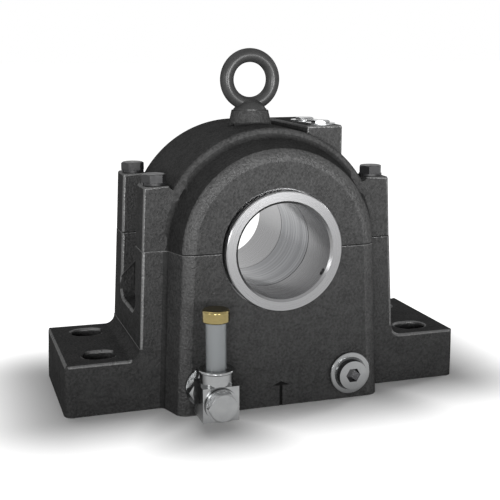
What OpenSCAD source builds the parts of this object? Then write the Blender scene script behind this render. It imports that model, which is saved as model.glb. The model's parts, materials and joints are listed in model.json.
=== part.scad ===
/* [Shaft and housing] */
// Diameter of the shaft that the block carries
shaft_d = 80; // [76:1:82]
// Height of the shaft centre above the mounting face
centre_h = 135; // [130:1:160]
// Outer radius of the barrel round the bearing
barrel_r = 97.8; // [96:0.2:104]
// Depth of the cap from front face to rear face
body_depth = 115.6; // [110:0.2:130]
// Depth of the base at the mounting face
base_depth = 120.8; // [118:0.2:140]
// Distance from the middle to the front of each seal boss
boss_reach = 85.5; // [82:0.5:92]
// Radius of the seal boss at its root
boss_r = 86.3; // [85:0.1:90]
// Width of the crowned front edge of the seal boss
boss_crown_w = 10; // [7:0.5:11]
// Depth by which the crowned edge falls back at the wall
boss_crown_h = 4.6; // [2:0.2:5]
// Lean of the side walls, degrees
side_draft = 2.8; // [1:0.1:4]
// Lean of the seal boss sides towards its front, degrees
boss_draft = 7.7; // [4:0.1:9]

/* [Feet] */
// Length over the feet at the mounting face
base_len = 357; // [340:1:380]
// Thickness of the feet
foot_h = 44.2; // [36:0.2:52]
// Lean of the foot ends, degrees
foot_draft = 2.2; // [0:0.1:4]
// Radius of the upright corners of the feet
foot_corner_r = 8; // [2:1:14]
// Radius of the fillet between foot and column
foot_fillet_r = 9; // [4:1:14]
// Distance between the bolt slots along the base
slot_pitch_x = 290; // [286:1:300]
// Distance between the bolt slots across the base
slot_pitch_y = 70; // [60:1:80]
// Width of a bolt slot
slot_w = 22; // [16:1:24]
// Length of a bolt slot
slot_len = 28; // [26:1:34]
// Distance between the two dowel marks
mark_pitch = 319; // [312:1:326]

/* [Columns] */
// Half width over the columns at the parting face
column_x = 110.8; // [109:0.1:116]
// Width of a column across the base
column_w = 28.5; // [26:0.5:32]
// Height of the bolt seats above the shaft centre
lug_h = 53; // [48:1:58]
// Distance from the middle to the cap bolts, along the base
bolt_x = 97; // [95:0.5:99]
// Distance from the middle to the cap bolts, across the base
bolt_y = 44; // [42:0.5:46]
// Thread diameter of the cap bolts
bolt_d = 12; // [10:1:14]
// Width across flats of the cap bolt heads
bolt_flats = 18; // [16:1:21]
// Height of the cap bolt heads
bolt_head_h = 7; // [6:0.5:10]
// Thickness of the spring washers under the cap bolts
washer_t = 2; // [1.5:0.5:3.5]

/* [Bearing] */
// Outside diameter of the bearing
bearing_d = 160; // [156:1:162]
// Width of the bearing
bearing_w = 40; // [38:1:42]
// Rollers in each row
roller_n = 17; // [12:1:17]
// Largest diameter of a roller
roller_d = 20; // [18:0.5:20]
// Length of a roller
roller_len = 15.5; // [13:0.5:15.5]
// Contact angle of the rollers, degrees
contact_a = 9.5; // [9:0.1:10.5]

/* [Labyrinth rings] */
// Distance from the middle to the outer face of each ring
ring_reach = 94; // [92:0.5:100]
// Outside diameter of the ring's hub
ring_d = 100; // [96:1:104]
// Gap between ring and housing
labyrinth_gap = 1; // [0.6:0.1:1.2]
// Height of the ring's webs above its hub
web_h = 8; // [5:0.5:9]

/* [Eye bolt and cap pad] */
// Hole diameter of the eye
eye_hole_d = 30; // [28:1:36]
// Thickness of the eye's round section
eye_bar_d = 12; // [10:0.5:14]
// Diameter of the eye bolt's collar
collar_d = 29; // [27:1:31]
// Height of the eye bolt seat above the barrel
eye_boss_h = 11.2; // [6:0.2:16]
// Pad's distance from the middle, near side
pad_x0 = 36.4; // [32:0.2:42]
// Width of the pad
pad_w = 32.2; // [31:0.2:38]
// Distance of the plugs from the middle, along the base
pad_plug_x = 53; // [50:0.5:56]
// Place of the pair of plugs along the shaft, front is negative
pad_plug_mid = -15.5; // [-15.5:0.5:-10]
// Distance between the two plugs on the pad
pad_plug_pitch = 38; // [34:1:38]
// Flange diameter of the pad plugs
pad_plug_flange_d = 25; // [20:1:26]
// Width across flats of the pad plugs
pad_plug_flats = 14; // [11:1:17]

/* [Drain plug] */
// Place of the drain plug along the base
drain_x = 62; // [58:0.2:64]
// Height of the drain plug above the mounting face
drain_z = 23.6; // [22.5:0.1:28]
// Flange diameter of the drain plug
drain_flange_d = 36.5; // [32:0.5:38]
// Diameter of the drain plug's head at its root
drain_head_d = 29; // [26:0.5:31]
// Thread diameter of the drain plug
drain_thread_d = 20; // [18:1:22]

/* [Oil gauge] */
// Place of the gauge along the base
gauge_x = 66; // [62:0.5:66]
// Height of the gauge's stem above the mounting face
gauge_z = 24.9; // [22:0.1:30]
// Distance from the front of the seal boss to the glass axis
gauge_reach = 32; // [31.5:0.5:36]
// Width of the elbow block
elbow_w = 29.5; // [28:0.5:32]
// Depth of the elbow block
elbow_depth = 27; // [26:0.5:29]
// Height of the elbow block
elbow_h = 28.2; // [28:0.2:34]
// Outside diameter of the glass
glass_d = 16.4; // [14:0.2:17]
// Height of the top of the gauge above the mounting face
gauge_top = 99; // [94:0.5:110]

/* [Hidden] */
$fn = 96;

// Clearances and fits
eps = 0.01;          // reach of a cut past the face it opens
fit = 0.03;          // radial gap of a seated round fit
run_fit = 0.05;      // gap between a roller and its tracks
hole_gap = 0.75;     // radial gap of a bolt in its clearance hole
thread_gap = 0.05;   // radial gap of a thread drawn as a plain cylinder
big = 500;           // longer than the whole block

// Housing, inside
end_wall_t = 23.5;                        // wall that holds the labyrinth
chamber_reach = boss_reach - end_wall_t;  // inner face of that wall
chamber_r = bearing_d / 2 - 2;            // chamber beside the bearing
locating_w = 12.5;                        // width of a locating ring
seat_half = bearing_w / 2 + locating_w;   // half width of the bearing seat
sump_floor = 12;                          // thickness under the oil
sump_half_x = 74;                         // half width of the sump
sump_corner_r = 12;
saddle_half = seat_half + 4;              // half thickness of the seat's saddle
tunnel_half_x = 40;                       // oil passage under the saddle
tunnel_top = 42;

// Housing, outside
top_z = centre_h + barrel_r;              // top of the barrel
lug_z = centre_h + lug_h;                 // bolt seats
rim_edge_r = 3;                           // rounding of the barrel's ends
boss_root = body_depth / 2 - 10;          // the seal bosses start inside the body
leg_h = 1.2 * centre_h;                   // their legs, cut off at the mounting face
leg_spare = 10;                           // length the legs keep above the parting face
leg_lap = 20;                             // reach of each leaning half past the middle
lug_dip_x = 88;                           // seats start here, the lug dips beside them
lug_dip_h = 3.5;
lug_dip_r = 5;
lug_root_x = 60;                          // the lugs end here, inside the barrel
pocket_floor = 77;                        // bottom of the recess between two columns
pocket_step = 95.5;                       // end of the bolt lugs below the parting face
pocket_widen = 4.5;                       // recess is wider below the lugs
pocket_corner_r = 14;
mark_groove_w = 2.6;                      // centre mark on the front of the base
mark_groove_h = 22;
mark_depth = 1.2;
mark_head_w = 16.6;
mark_head_h = 4;
mark_dimple_d = 3;                        // dowel marks on the feet
mark_dimple_depth = 1.5;

// Labyrinth webs, measured from the middle
web_t = 3;
web_outer = boss_reach - 7;               // middle of the outer web
web_pitch = 8.5;
web_inner = web_outer - web_pitch;        // middle of the inner web
flinger_y = chamber_reach - 2.5;          // middle of the oil flinger
flinger_h = 7;                            // height of the flinger above the hub
sleeve_part_d = ring_d - 4;               // ring behind its hub
grub_y = boss_reach + 3;
grub_d = 6;
grub_foot = 0.8;                          // below its foot, the shaft's surface
grub_short = 0.8;                         // its end below the ring's rim
grub_socket_flats = 3;
grub_socket_depth = 3;
rear_screw_a = 60;                        // the rear ring's screws stand between the front ones
ring_chamfer = 2;
ring_edge = 0.8;

// Adapter sleeve and nut, front is negative
sleeve_rear = bearing_w / 2 + 6;
sleeve_gap = 1.2;                         // between the sleeve and each labyrinth ring
cone_rate = 1 / 24;                       // radius gained per length, taper 1 in 12
bearing_bore_r = shaft_d / 2 + 5;         // small end of the bearing's bore
tab_washer_t = 2.5;
tab_washer_inset = 1;                     // its rim lies this far inside the nut's
tab_notch_w = 10;
nut_w = 18;
nut_d = 120;
nut_slot_w = 10;
nut_slot_depth = 4;
sleeve_front = -(bearing_w / 2 + tab_washer_t + nut_w + 1.5);
sleeve_slit = 3.5;
slit_a = 130;

// Bearing, section through the rollers
track_r = bearing_d / 2 - 6;                               // sphere of the outer track
roller_c = track_r - run_fit - roller_d / 2;               // roller centre from the middle
roller_profile_r = track_r - 2;
inner_track_c = roller_c - roller_d / 2 - run_fit + track_r;
roller_y = roller_c * sin(contact_a);
roller_radius = roller_c * cos(contact_a);
cage_t = 3;
cage_gap = 0.2;
cage_near = roller_len / 2 + 1.15;                         // cage beyond the roller, inner end
cage_far = roller_len / 2 + 1.45;                          // and outer end
guide_in = 55.6;                                           // bore and rim of the guide ring
guide_out = 62.4;
guide_w = 2;                                               // width at its bore
guide_rim_w = 4.4;                                         // width at its rim
outer_ring_t = 12;                                         // outer ring at its faces
oil_groove_w = 8;
oil_groove_depth = 1;
oil_hole_r = 2.5;
rib_h = 9.4;                                               // inner ring's ribs above its bore
rib_w = 2.6;
ridge_h = 12;                                              // and the ridge between the tracks
locating_h = 7.5;                                          // height of the locating rings

// Cap bolt
bolt_hole_r = bolt_d / 2 + hole_gap;
washer_d = bolt_flats + 2;
washer_split = 1.6;
washer_split_a = 200;                     // the split points to the rear left
bolt_grip = 28;                           // thread in the base

// Dowel pins
dowel_r = 4;
dowel_len = 24;
dowel_x = bearing_d / 2 + 9.4;
dowel_y = 20;

// Eye bolt and its boss
eye_boss_foot_r = 18.7;
eye_boss_top_r = 16.2;
eye_boss_sink = 12;                       // depth of the boss inside the barrel
eye_seat_z = top_z + eye_boss_h;
eye_c = eye_hole_d / 2 + eye_bar_d / 2;   // radius of the eye's centre line
eye_rise = 26.3;
eye_z = eye_seat_z + eye_rise;
eye_flat = 0.2;                           // depth of the land in the eye
collar_h = 1.3;
dome_foot_r = collar_d / 2 - 0.6;
dome_h = 9.3;                             // height of the dome above the collar
dome_r = (dome_foot_r * dome_foot_r + dome_h * dome_h) / (2 * dome_h);
eye_thread_d = 12;
eye_thread_len = 20;

// Pad plugs and their oilways
pad_front = 47;
pad_plug_thread_d = 16;
pad_plug_thread_len = 12;
pad_plug_turns = [-16, -22];              // the plugs stopped at different turns
pad_plug_flange_t = 0.9;
pad_plug_head_h = 2.2;
pad_seal_t = 0.6;
pad_plug_rear = pad_plug_mid + pad_plug_pitch / 2;
pad_plug_front = pad_plug_mid - pad_plug_pitch / 2;
oilway_r = 4;
oilway_drop = top_z - pad_plug_thread_len - centre_h - sqrt(pow(bearing_d / 2, 2) - pow(pad_plug_x, 2));
oilway_lean = atan(pad_plug_rear / oilway_drop);  // the rear way meets the bearing's groove

// Drain plug
drain_flange_t = 2.5;
drain_flange_edge = 0.6;
drain_head_h = 6.2;
drain_head_lean = 4;                      // the head is this much narrower at its end
drain_seal_t = 1.5;
drain_thread_len = 16;
drain_socket_flats = 11.5;
drain_socket_depth = 6.5;

// Oil gauge, measured forward from the seal boss
gauge_face = -boss_reach;
glass_y = gauge_face - gauge_reach;
elbow_back = glass_y + elbow_depth / 2;
elbow_front = glass_y - elbow_depth / 2;
elbow_top = gauge_z + elbow_h / 2;
stem_d = 13;
gauge_washer_t = 2.5;
gauge_washer_d = 35;
lock_nut_flats = 30;
lock_nut_t = 12;
collar_nut_d = 26.6;
collar_nut_h = 11.8;
collar_rim_d = 29;
collar_rim_t = 2.6;
collar_recess_d = glass_d + 2.4;
glass_bore_d = 11.4;
glass_foot = gauge_z + 10;
glass_seal_t = 2;
gauge_cap_d = 22;
gauge_cap_h = 10.2;
gauge_cap_edge = 2;
gauge_cap_roof = 3;
end_plug_flats = 22;
end_plug_flange_d = 26.5;
end_plug_flange_t = 2.5;
end_plug_h = 5.3;
end_plug_thread_d = 13;
end_plug_thread_len = 8;
end_seal_t = 1;
channel_r = 4;

// Finishes
iron = "#2f3031";
dark_steel = "#3a3b3c";
turned_steel = "#b8bbbd";
plated = "#a6a8aa";
brass = "#c8b053";
glass_tint = "#aab4b6";
bearing_steel = "#9fa4a8";
cage_steel = "#8d8a80";
seal_black = "#1c1c1c";
aluminium = "#b4b6b8";

// Section in (radius, distance along the shaft) turned about the shaft's axis
module about_shaft() {
    translate([0, 0, centre_h])
        rotate([-90, 0, 0])
            rotate_extrude($fn = 180)
                children();
}

// Outline in (x, z) carried along the shaft, centred
module along_y(depth) {
    translate([0, depth / 2, 0])
        rotate([90, 0, 0])
            linear_extrude(depth)
                children();
}

// Outline in (y, z) carried along the base, centred
module along_x(len) {
    translate([-len / 2, 0, 0])
        rotate([90, 0, 90])
            linear_extrude(len)
                children();
}

module four_corners(x, y) {
    for (sx = [-1, 1])
        for (sy = [-1, 1])
            translate([sx * x, sy * y, 0])
                children();
}

module rounded_rect(w, h, r) {
    square([w - 2 * r, h], center = true);
    square([w, h - 2 * r], center = true);
    for (sx = [-1, 1])
        for (sy = [-1, 1])
            translate([sx * (w / 2 - r), sy * (h / 2 - r)])
                circle(r);
}

module hex(flats, h) {
    cylinder(h = h, d = flats / cos(30), $fn = 6);
}

// Plain tube standing on the origin
module tube(outer_d, inner_d, h) {
    difference() {
        cylinder(h = h, d = outer_d);
        translate([0, 0, -eps])
            cylinder(h = h + 2 * eps, d = inner_d);
    }
}

// Hexagon with its corners turned off at the top
module hex_head(flats, h) {
    intersection() {
        hex(flats, h);
        union() {
            cylinder(h = h - flats / 16, d = flats / cos(30) + 1);
            translate([0, 0, h - flats / 16])
                cylinder(h = flats / 16, d1 = flats / cos(30) + 0.2, d2 = flats * 0.96);
        }
    }
}

// Half of the seal boss in plan, from the middle outward, with its crowned front edge
module boss_section() {
    slope = tan(boss_draft);
    root_y = body_depth / 2;
    brow_x = boss_r - (boss_reach - boss_crown_h - root_y) * slope;
    flat_x = brow_x - boss_crown_w;
    crown_r = (boss_crown_w * boss_crown_w + boss_crown_h * boss_crown_h) / (2 * boss_crown_h);
    intersection() {
        polygon([
            [0, 0],
            [boss_r + root_y * slope, 0],
            [boss_r - (boss_reach - root_y) * slope, boss_reach],
            [0, boss_reach]
        ]);
        union() {
            square([flat_x, boss_reach]);
            square([big, boss_reach - crown_r]);
            translate([flat_x, boss_reach - crown_r])
                circle(crown_r);
        }
    }
}

module boss_half_plan() {
    intersection() {
        boss_section();
        translate([0, boss_root])
            square([big, big]);
    }
}

// Round top of a seal boss, front and rear
module boss_arches() {
    for (side = [0, 1])
        mirror([0, side, 0])
            about_shaft()
                boss_half_plan();
}

// Straight legs of the seal bosses, leaning outward towards the mounting face
module boss_legs() {
    for (side = [0, 1])
        for (end = [0, 1])
            mirror([0, side, 0])
                mirror([end, 0, 0])
                    translate([boss_r, 0, centre_h])
                        rotate([0, -side_draft, 0])
                            translate([-boss_r, 0, -leg_h])
                                linear_extrude(leg_h + leg_spare) {
                                    boss_half_plan();
                                    translate([-leg_lap, boss_root])
                                        square([leg_lap + 1, boss_reach - boss_root]);
                                }
}

// Space held by the labyrinth rings, the chambers and the bearing seat
module bore_cavity() {
    about_shaft() {
        translate([0, -seat_half])
            square([bearing_d / 2 + fit, 2 * seat_half]);
        translate([0, -chamber_reach])
            square([chamber_r, 2 * chamber_reach]);
        translate([0, -boss_reach - 1])
            square([ring_d / 2 + labyrinth_gap, 2 * boss_reach + 2]);
        for (side = [-1, 1])
            for (y = [web_outer, web_inner])
                translate([0, side * y - web_t / 2 - labyrinth_gap])
                    square([ring_d / 2 + web_h + labyrinth_gap, web_t + 2 * labyrinth_gap]);
    }
}

module bolt_circle(r, z, h) {
    translate([0, 0, z])
        four_corners(bolt_x, bolt_y)
            cylinder(h = h, r = r);
}

// Outline of the base seen from the front, above the feet
module base_outline() {
    lean = tan(side_draft);
    polygon([
        [-column_x - centre_h * lean, 0],
        [column_x + centre_h * lean, 0],
        [column_x, centre_h],
        [-column_x, centre_h]
    ]);
    fillet_x = column_x + (centre_h - foot_h) * lean - 1;
    for (end = [0, 1])
        mirror([end, 0])
            difference() {
                translate([fillet_x, 0])
                    square([foot_fillet_r + 1, foot_h + foot_fillet_r]);
                translate([fillet_x + 1 + foot_fillet_r, foot_h + foot_fillet_r])
                    circle(foot_fillet_r);
            }
}

// Trapezoid in (y, z) that gives front and rear face of the base their lean
module base_lean() {
    reach = base_depth / 2;
    polygon([
        [-reach, 0],
        [reach, 0],
        [body_depth / 2, centre_h],
        [-body_depth / 2, centre_h]
    ]);
}

module feet() {
    intersection() {
        linear_extrude(foot_h)
            rounded_rect(base_len, base_depth, foot_corner_r);
        along_y(big)
            polygon([
                [-base_len / 2, 0],
                [base_len / 2, 0],
                [base_len / 2 - foot_h * tan(foot_draft), foot_h],
                [-base_len / 2 + foot_h * tan(foot_draft), foot_h]
            ]);
    }
}

// Recess between the two columns at each end, down to the end wall
module end_pockets() {
    half = body_depth / 2 - column_w;
    wide = half + pocket_widen;
    lean = tan(side_draft);
    difference() {
        union() {
            along_x(big)
                translate([-half, pocket_floor + pocket_corner_r])
                    square([2 * half, centre_h]);
            intersection() {
                along_x(big)
                    union() {
                        translate([-wide, pocket_floor + pocket_corner_r])
                            square([2 * wide, centre_h]);
                        translate([-wide + pocket_corner_r, pocket_floor])
                            square([2 * (wide - pocket_corner_r), centre_h]);
                        for (side = [-1, 1])
                            translate([side * (wide - pocket_corner_r), pocket_floor + pocket_corner_r])
                                circle(pocket_corner_r);
                    }
                // the lugs end in a slope of 45 degrees
                along_y(big)
                    polygon([
                        [-column_x - pocket_step, 0],
                        [column_x + pocket_step, 0],
                        [0, pocket_step + column_x]
                    ]);
            }
        }
        along_y(big)
            polygon([
                [-barrel_r - centre_h * lean, 0],
                [barrel_r + centre_h * lean, 0],
                [barrel_r, centre_h],
                [barrel_r, 2 * centre_h],
                [-barrel_r, 2 * centre_h],
                [-barrel_r, centre_h]
            ]);
    }
}

// Oil space of the base: an end sump on each side of the saddle and a passage below it
module sump() {
    for (side = [0, 1])
        mirror([0, side, 0])
            translate([0, (saddle_half + chamber_reach) / 2, 0])
                along_y(chamber_reach - saddle_half)
                    sump_outline();
    along_y(2 * saddle_half + 2)
        translate([-tunnel_half_x, sump_floor])
            square([2 * tunnel_half_x, tunnel_top - sump_floor]);
}

module sump_outline() {
    corner_x = sump_half_x - sump_corner_r;
    translate([-sump_half_x, sump_floor + sump_corner_r])
        square([2 * sump_half_x, centre_h - sump_floor - sump_corner_r]);
    translate([-corner_x, sump_floor])
        square([2 * corner_x, centre_h - sump_floor]);
    for (end = [-1, 1])
        translate([end * corner_x, sump_floor + sump_corner_r])
            circle(sump_corner_r);
}

module foot_slots() {
    translate([0, 0, -1])
        four_corners(slot_pitch_x / 2, slot_pitch_y / 2)
            linear_extrude(foot_h + 2) {
                square([slot_len - slot_w, slot_w], center = true);
                for (end = [-1, 1])
                    translate([end * (slot_len - slot_w) / 2, 0])
                        circle(slot_w / 2);
            }
}

// Lets oil that the webs throw off run back into the sump
module oil_returns() {
    from = chamber_reach - 5;
    to = web_outer + web_t / 2;
    for (side = [-1, 1])
        translate([0, side * (from + to) / 2, centre_h - ring_d / 2 - web_h])
            rotate([90, 0, 0])
                cylinder(h = to - from, r = oilway_r, center = true);
}

// Groove with an arrow head on the front of the base
module centre_mark() {
    translate([-mark_groove_w / 2, -boss_reach - 1, -1])
        cube([mark_groove_w, 1 + mark_depth, mark_groove_h - 1]);
    translate([0, -boss_reach, 0])
        along_y(mark_depth)
            polygon([
                [-mark_head_w / 2, mark_groove_h - mark_head_h],
                [mark_head_w / 2, mark_groove_h - mark_head_h],
                [0, mark_groove_h]
            ]);
}

// Two upright places across the parting face, in opposite corners of the barrel's wall
module at_dowels(r, h) {
    for (side = [-1, 1])
        translate([side * dowel_x, side * dowel_y, centre_h])
            cylinder(h = h, r = r, center = true);
}

module housing_base() {
    color(iron)
        difference() {
            union() {
                intersection() {
                    union() {
                        feet();
                        difference() {
                            along_y(big)
                                base_outline();
                            end_pockets();
                        }
                    }
                    along_x(big)
                        base_lean();
                }
                intersection() {
                    boss_legs();
                    translate([0, 0, centre_h / 2])
                        cube([big, big, centre_h], center = true);
                }
            }
            bore_cavity();
            sump();
            oil_returns();
            foot_slots();
            bolt_circle(bolt_d / 2 + thread_gap, centre_h - bolt_grip - 4, bolt_grip + 5);
            at_dowels(dowel_r + fit, dowel_len + 2);
            for (end = [-1, 1])
                translate([end * mark_pitch / 2, 0, foot_h - mark_dimple_depth])
                    cylinder(h = 2 * mark_dimple_depth, d1 = eps, d2 = 2 * mark_dimple_d);
            centre_mark();
            // threaded holes of the drain plug and of the gauge
            translate([drain_x, -boss_reach - 1, drain_z])
                rotate([-90, 0, 0])
                    cylinder(h = end_wall_t + 2, d = drain_thread_d + 2 * thread_gap);
            translate([-gauge_x, -boss_reach - 1, gauge_z])
                rotate([-90, 0, 0])
                    cylinder(h = end_wall_t + 2, d = stem_d + 2 * thread_gap);
        }
}

// Outline of the cap's bolt lugs seen from the front
module lug_outline() {
    lean = tan(side_draft);
    for (end = [0, 1])
        mirror([end, 0])
            difference() {
                polygon([
                    [bearing_d / 2, centre_h],
                    [column_x, centre_h],
                    [column_x - lug_h * lean, lug_z],
                    [lug_root_x, lug_z]
                ]);
                translate([lug_root_x, lug_z - lug_dip_h])
                    square([lug_dip_x - lug_root_x - lug_dip_r, lug_h]);
                translate([lug_dip_x - lug_dip_r, lug_z - lug_dip_h + lug_dip_r])
                    circle(lug_dip_r);
            }
}

module cap_lugs() {
    difference() {
        along_y(body_depth)
            lug_outline();
        cube([big, body_depth - 2 * column_w, big], center = true);
    }
}

// Barrel round the bearing, with its two ends rounded
module barrel() {
    half = body_depth / 2;
    about_shaft() {
        translate([0, -half])
            square([barrel_r - rim_edge_r, 2 * half]);
        translate([0, -half + rim_edge_r])
            square([barrel_r, 2 * half - 2 * rim_edge_r]);
        for (side = [-1, 1])
            translate([barrel_r - rim_edge_r, side * (half - rim_edge_r)])
                circle(rim_edge_r);
    }
}

module pad() {
    translate([pad_x0, -pad_front, centre_h + barrel_r / 2])
        cube([pad_w, pad_front + body_depth / 2, barrel_r / 2]);
}

module eye_boss() {
    flare = (eye_boss_foot_r - eye_boss_top_r) / eye_boss_h;
    translate([0, 0, top_z - eye_boss_sink])
        cylinder(
            h = eye_boss_h + eye_boss_sink,
            r1 = eye_boss_foot_r + eye_boss_sink * flare,
            r2 = eye_boss_top_r
        );
}

// Holes for the pad plugs, each with a drilled way: the rear one leads to the groove in the
// bearing, the front one to the chamber beside it
module pad_holes() {
    for (y = [pad_plug_rear, pad_plug_front])
        translate([pad_plug_x, y, top_z]) {
            translate([0, 0, -pad_plug_thread_len - 2])
                cylinder(h = pad_plug_thread_len + 3, d = pad_plug_thread_d + 2 * thread_gap);
            translate([0, 0, -pad_plug_thread_len])
                rotate([180 - oilway_lean, 0, 0])
                    cylinder(h = oilway_drop + 2 * oilway_r, r = oilway_r);
        }
}

module housing_cap() {
    color(iron)
        difference() {
            union() {
                intersection() {
                    union() {
                        barrel();
                        boss_arches();
                    }
                    translate([0, 0, centre_h + big / 2])
                        cube([big, big, big], center = true);
                }
                cap_lugs();
                pad();
                eye_boss();
            }
            bore_cavity();
            bolt_circle(bolt_hole_r, centre_h - 1, lug_h + 2);
            at_dowels(dowel_r + fit, dowel_len + 2);
            translate([0, 0, eye_seat_z - eye_thread_len - 3])
                cylinder(h = eye_thread_len + 4, d = eye_thread_d + 2 * thread_gap);
            pad_holes();
        }
}

module cap_bolts() {
    color(dark_steel)
        translate([0, 0, lug_z + washer_t])
            four_corners(bolt_x, bolt_y) {
                hex_head(bolt_flats, bolt_head_h);
                translate([0, 0, -lug_h - washer_t - bolt_grip])
                    cylinder(h = lug_h + washer_t + bolt_grip + 1, d = bolt_d);
            }
}

module cap_bolt_washers() {
    color(dark_steel)
        translate([0, 0, lug_z])
            four_corners(bolt_x, bolt_y)
                difference() {
                    tube(washer_d, bolt_d + 0.6, washer_t);
                    rotate([0, 0, washer_split_a])
                        translate([washer_d / 2, 0, washer_t / 2])
                            rotate([25, 0, 0])
                                cube([washer_d, washer_split, 4 * washer_t], center = true);
                }
}

module dowel_pins() {
    color(bearing_steel)
        at_dowels(dowel_r, dowel_len);
}

module eye_bolt() {
    color(dark_steel)
        difference() {
            union() {
                translate([0, 0, eye_z])
                    rotate([90, 0, 0])
                        rotate_extrude()
                            translate([eye_c, 0])
                                circle(d = eye_bar_d);
                // collar, dome and threaded shank
                translate([0, 0, eye_seat_z])
                    cylinder(h = collar_h, d = collar_d);
                intersection() {
                    translate([0, 0, eye_seat_z + collar_h + dome_h - dome_r])
                        sphere(r = dome_r);
                    translate([0, 0, eye_seat_z + collar_h / 2])
                        cylinder(h = dome_h + collar_h, r = dome_foot_r);
                }
                translate([0, 0, eye_seat_z - eye_thread_len])
                    cylinder(h = eye_thread_len + 1, d = eye_thread_d);
            }
            translate([0, 0, eye_z])
                rotate([90, 0, 0])
                    cylinder(h = big, r = eye_hole_d / 2 - eye_flat, center = true);
        }
}

module on_pad() {
    translate([pad_plug_x, pad_plug_rear, top_z])
        rotate([0, 0, pad_plug_turns[0]])
            children();
    translate([pad_plug_x, pad_plug_front, top_z])
        rotate([0, 0, pad_plug_turns[1]])
            children();
}

module pad_plugs() {
    color(plated)
        on_pad() {
            translate([0, 0, pad_seal_t])
                cylinder(h = pad_plug_flange_t, d = pad_plug_flange_d);
            translate([0, 0, pad_seal_t + pad_plug_flange_t])
                hex_head(pad_plug_flats, pad_plug_head_h);
            translate([0, 0, -pad_plug_thread_len + pad_seal_t])
                cylinder(h = pad_plug_thread_len + 1, d = pad_plug_thread_d);
        }
}

module pad_plug_seals() {
    color(aluminium)
        on_pad()
            tube(pad_plug_flange_d - 2, pad_plug_thread_d + 0.4, pad_seal_t);
}

// Stands children out of the front of the seal boss
module on_front(x, z) {
    translate([x, -boss_reach, z])
        rotate([90, 0, 0])
            children();
}

module drain_plug() {
    color(plated)
        on_front(drain_x, drain_z)
            difference() {
                union() {
                    translate([0, 0, drain_seal_t])
                        rotate_extrude()
                            polygon([
                                [0, 0],
                                [drain_flange_d / 2, 0],
                                [drain_flange_d / 2, drain_flange_t - drain_flange_edge],
                                [drain_flange_d / 2 - drain_flange_edge, drain_flange_t],
                                [drain_head_d / 2, drain_flange_t],
                                [(drain_head_d - drain_head_lean) / 2, drain_flange_t + drain_head_h],
                                [0, drain_flange_t + drain_head_h]
                            ]);
                    translate([0, 0, drain_seal_t - drain_thread_len])
                        cylinder(h = drain_thread_len + 1, d = drain_thread_d);
                }
                translate([0, 0, drain_seal_t + drain_flange_t + drain_head_h - drain_socket_depth])
                    hex(drain_socket_flats, drain_socket_depth + 1);
            }
}

module drain_plug_seal() {
    color(aluminium)
        on_front(drain_x, drain_z)
            tube(drain_flange_d - 3, drain_thread_d + 0.4, drain_seal_t);
}

module gauge_elbow() {
    wall_end = boss_reach - chamber_reach;
    color(plated)
        difference() {
            union() {
                translate([-gauge_x, glass_y, gauge_z])
                    cube([elbow_w, elbow_depth, elbow_h], center = true);
                translate([-gauge_x, elbow_back - 1, gauge_z])
                    rotate([-90, 0, 0])
                        cylinder(h = gauge_face - elbow_back + 1 + wall_end - 4, d = stem_d);
            }
            // oil way through the stem, out of the front for the blanking plug
            translate([-gauge_x, glass_y - channel_r, gauge_z])
                rotate([-90, 0, 0])
                    cylinder(h = big, r = channel_r);
            translate([-gauge_x, elbow_front - 1, gauge_z])
                rotate([-90, 0, 0])
                    cylinder(h = end_plug_thread_len + 2, d = end_plug_thread_d + 2 * thread_gap);
            translate([-gauge_x, glass_y, gauge_z])
                cylinder(h = elbow_h, r = channel_r);
            translate([-gauge_x, glass_y, glass_foot - glass_seal_t])
                cylinder(h = elbow_h, d = glass_d + 2 * fit);
        }
}

module gauge_washer() {
    color(plated)
        on_front(-gauge_x, gauge_z)
            tube(gauge_washer_d, stem_d + 0.6, gauge_washer_t);
}

module gauge_lock_nut() {
    color(plated)
        on_front(-gauge_x, gauge_z)
            translate([0, 0, gauge_washer_t])
                difference() {
                    hex_head(lock_nut_flats, lock_nut_t);
                    translate([0, 0, -1])
                        cylinder(h = lock_nut_t + 2, d = stem_d + 2 * thread_gap);
                }
}

module gauge_collar_nut() {
    edge = collar_rim_t / 2;
    color(plated)
        translate([-gauge_x, glass_y, elbow_top])
            difference() {
                rotate_extrude() {
                    square([collar_nut_d / 2, collar_nut_h - edge]);
                    translate([0, collar_nut_h - collar_rim_t])
                        square([collar_rim_d / 2 - edge, collar_rim_t]);
                    translate([collar_rim_d / 2 - edge, collar_nut_h - edge])
                        circle(edge);
                }
                translate([0, 0, -1])
                    cylinder(h = big, d = glass_d + 2 * thread_gap);
                translate([0, 0, collar_nut_h - collar_rim_t])
                    cylinder(h = collar_rim_t + 1, d = collar_recess_d);
            }
}

module gauge_glass() {
    color(glass_tint, 0.5)
        translate([-gauge_x, glass_y, glass_foot])
            tube(glass_d, glass_bore_d, gauge_top - gauge_cap_roof - glass_foot);
}

module gauge_glass_seal() {
    color(seal_black)
        translate([-gauge_x, glass_y, glass_foot - glass_seal_t])
            tube(glass_d, glass_bore_d - 2, glass_seal_t);
}

module gauge_cap() {
    edge = gauge_cap_edge;
    outer = gauge_cap_d / 2;
    color(brass)
        translate([-gauge_x, glass_y, gauge_top - gauge_cap_h])
            difference() {
                rotate_extrude() {
                    polygon([
                        [0, 0],
                        [outer - edge / 2, 0],
                        [outer, edge / 2],
                        [outer, gauge_cap_h - edge],
                        [outer - edge, gauge_cap_h - edge],
                        [outer - edge, gauge_cap_h],
                        [0, gauge_cap_h]
                    ]);
                    translate([outer - edge, gauge_cap_h - edge])
                        circle(edge);
                }
                translate([0, 0, -1])
                    cylinder(h = gauge_cap_h - gauge_cap_roof + 1, d = glass_d + 2 * fit);
            }
}

module in_front_of_elbow() {
    translate([-gauge_x, elbow_front, gauge_z])
        rotate([90, 0, 0])
            children();
}

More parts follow.
